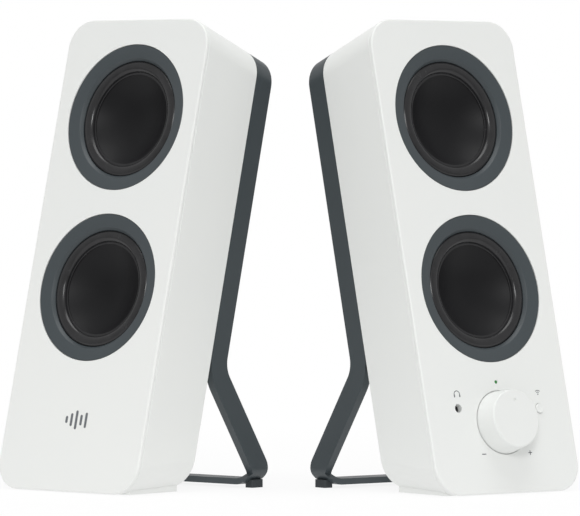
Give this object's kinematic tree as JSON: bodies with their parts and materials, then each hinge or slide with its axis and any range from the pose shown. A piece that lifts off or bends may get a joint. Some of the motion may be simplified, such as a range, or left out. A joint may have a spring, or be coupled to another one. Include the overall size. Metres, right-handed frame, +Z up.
{
  "type": "desktop speakers",
  "caption": "Pair of tilted white desktop speakers on bent slate loop stands, with ringed drivers on each face and a volume knob, headphone socket and pairing button on the right one.",
  "frame": {"origin": "middle of the pair's footprint on the desk", "axes": "+X to the right seen from the front, +Y to the back, +Z up"},
  "size_m": [0.2902, 0.1385, 0.236],
  "materials": {
    "white_plastic": "warm white moulded plastic with a fine satin texture",
    "slate_plastic": "dark slate grey satin plastic",
    "foot_rubber": "soft black rubber pads",
    "zinc_steel": "zinc plated pressed steel",
    "foam_rubber": "black foam gasket",
    "surround_rubber": "black rubber half roll, slight sheen",
    "cone_black": "black coated cone, smooth concave dish",
    "coil_copper": "enamelled copper wire on a thin former",
    "spider_cloth": "resin treated corrugated cloth",
    "ferrite": "dark grey ferrite ring",
    "black_plastic": "black moulded plastic",
    "black_screw": "blackened steel screws",
    "lens_clear": "clear light pipe, lit green",
    "circuit_board": "green solder mask"
  },
  "bodies": {
    "root": {"left_front_panel": "white_plastic", "left_cabinet_shell": "white_plastic", "left_rear_cover": "white_plastic", "left_stand_frame": "slate_plastic", "left_base_plinth": "white_plastic", "left_rubber_feet": "foot_rubber", "left_upper_trim_ring": "slate_plastic", "left_lower_trim_ring": "slate_plastic", "left_driver_basket": "zinc_steel", "left_gaskets": "foam_rubber", "left_surround": "surround_rubber", "left_spider": "spider_cloth", "left_magnet": "ferrite", "left_pole_pieces": "zinc_steel", "left_radiator_frame": "black_plastic", "left_radiator_surround": "surround_rubber", "left_driver_screws": "zinc_steel", "left_case_screws": "black_screw", "right_front_panel": "white_plastic", "right_cabinet_shell": "white_plastic", "right_rear_cover": "white_plastic", "right_stand_frame": "slate_plastic", "right_base_plinth": "white_plastic", "right_rubber_feet": "foot_rubber", "right_upper_trim_ring": "slate_plastic", "right_lower_trim_ring": "slate_plastic", "right_driver_basket": "zinc_steel", "right_gaskets": "foam_rubber", "right_surround": "surround_rubber", "right_spider": "spider_cloth", "right_magnet": "ferrite", "right_pole_pieces": "zinc_steel", "right_radiator_frame": "black_plastic", "right_radiator_surround": "surround_rubber", "right_driver_screws": "zinc_steel", "right_case_screws": "black_screw", "left_lead_gland": "black_plastic", "volume_pot": "zinc_steel", "led_lens": "lens_clear", "headphone_jack": "black_plastic", "control_board": "circuit_board", "amplifier_board": "circuit_board", "tone_pot": "zinc_steel", "power_inlet": "black_plastic", "line_in_jacks": "black_plastic", "speaker_outlet": "zinc_steel"},
    "left_cone_body": {"left_cone": "cone_black", "left_voice_coil": "coil_copper"},
    "left_radiator_body": {"left_radiator_cone": "cone_black", "left_radiator_mass": "zinc_steel"},
    "right_cone_body": {"right_cone": "cone_black", "right_voice_coil": "coil_copper"},
    "right_radiator_body": {"right_radiator_cone": "cone_black", "right_radiator_mass": "zinc_steel"},
    "volume_body": {"volume_knob": "white_plastic", "volume_shaft": "zinc_steel"},
    "pair_button_body": {"pair_button": "white_plastic"},
    "tone_body": {"tone_knob": "black_plastic"}
  },
  "joints": [
    {"name": "left_cone_travel", "type": "slide", "parent": "root", "child": "left_cone_body", "axis": [-0.6203, -0.7472, 0.2385], "range_m": [-0.0025, 0.0025], "stiffness_N_per_m": 1200, "deforming": ["left_surround", "left_spider"]},
    {"name": "left_radiator_travel", "type": "slide", "parent": "root", "child": "left_radiator_body", "axis": [-0.6203, -0.7472, 0.2385], "range_m": [-0.003, 0.003], "stiffness_N_per_m": 1000, "deforming": ["left_radiator_surround"]},
    {"name": "right_cone_travel", "type": "slide", "parent": "root", "child": "right_cone_body", "axis": [0.5992, -0.7642, 0.2385], "range_m": [-0.0025, 0.0025], "stiffness_N_per_m": 1200, "deforming": ["right_surround", "right_spider"]},
    {"name": "right_radiator_travel", "type": "slide", "parent": "root", "child": "right_radiator_body", "axis": [0.5992, -0.7642, 0.2385], "range_m": [-0.003, 0.003], "stiffness_N_per_m": 1000, "deforming": ["right_radiator_surround"]},
    {"name": "volume_turn", "type": "hinge", "parent": "root", "child": "volume_body", "pos_m": [0.10924, -0.04027, 0.03655], "axis": [-0.5992, 0.7642, -0.2385], "range_deg": [-150, 150]},
    {"name": "pair_press", "type": "slide", "parent": "root", "child": "pair_button_body", "axis": [-0.5992, 0.7642, -0.2385], "range_m": [0, 0.0008], "stiffness_N_per_m": 500, "springref_m": -0.0008},
    {"name": "tone_turn", "type": "hinge", "parent": "root", "child": "tone_body", "pos_m": [0.07536, 0.00212, 0.05206], "axis": [0.5992, -0.7642, 0.2385], "range_deg": [-135, 135]}
  ]
}
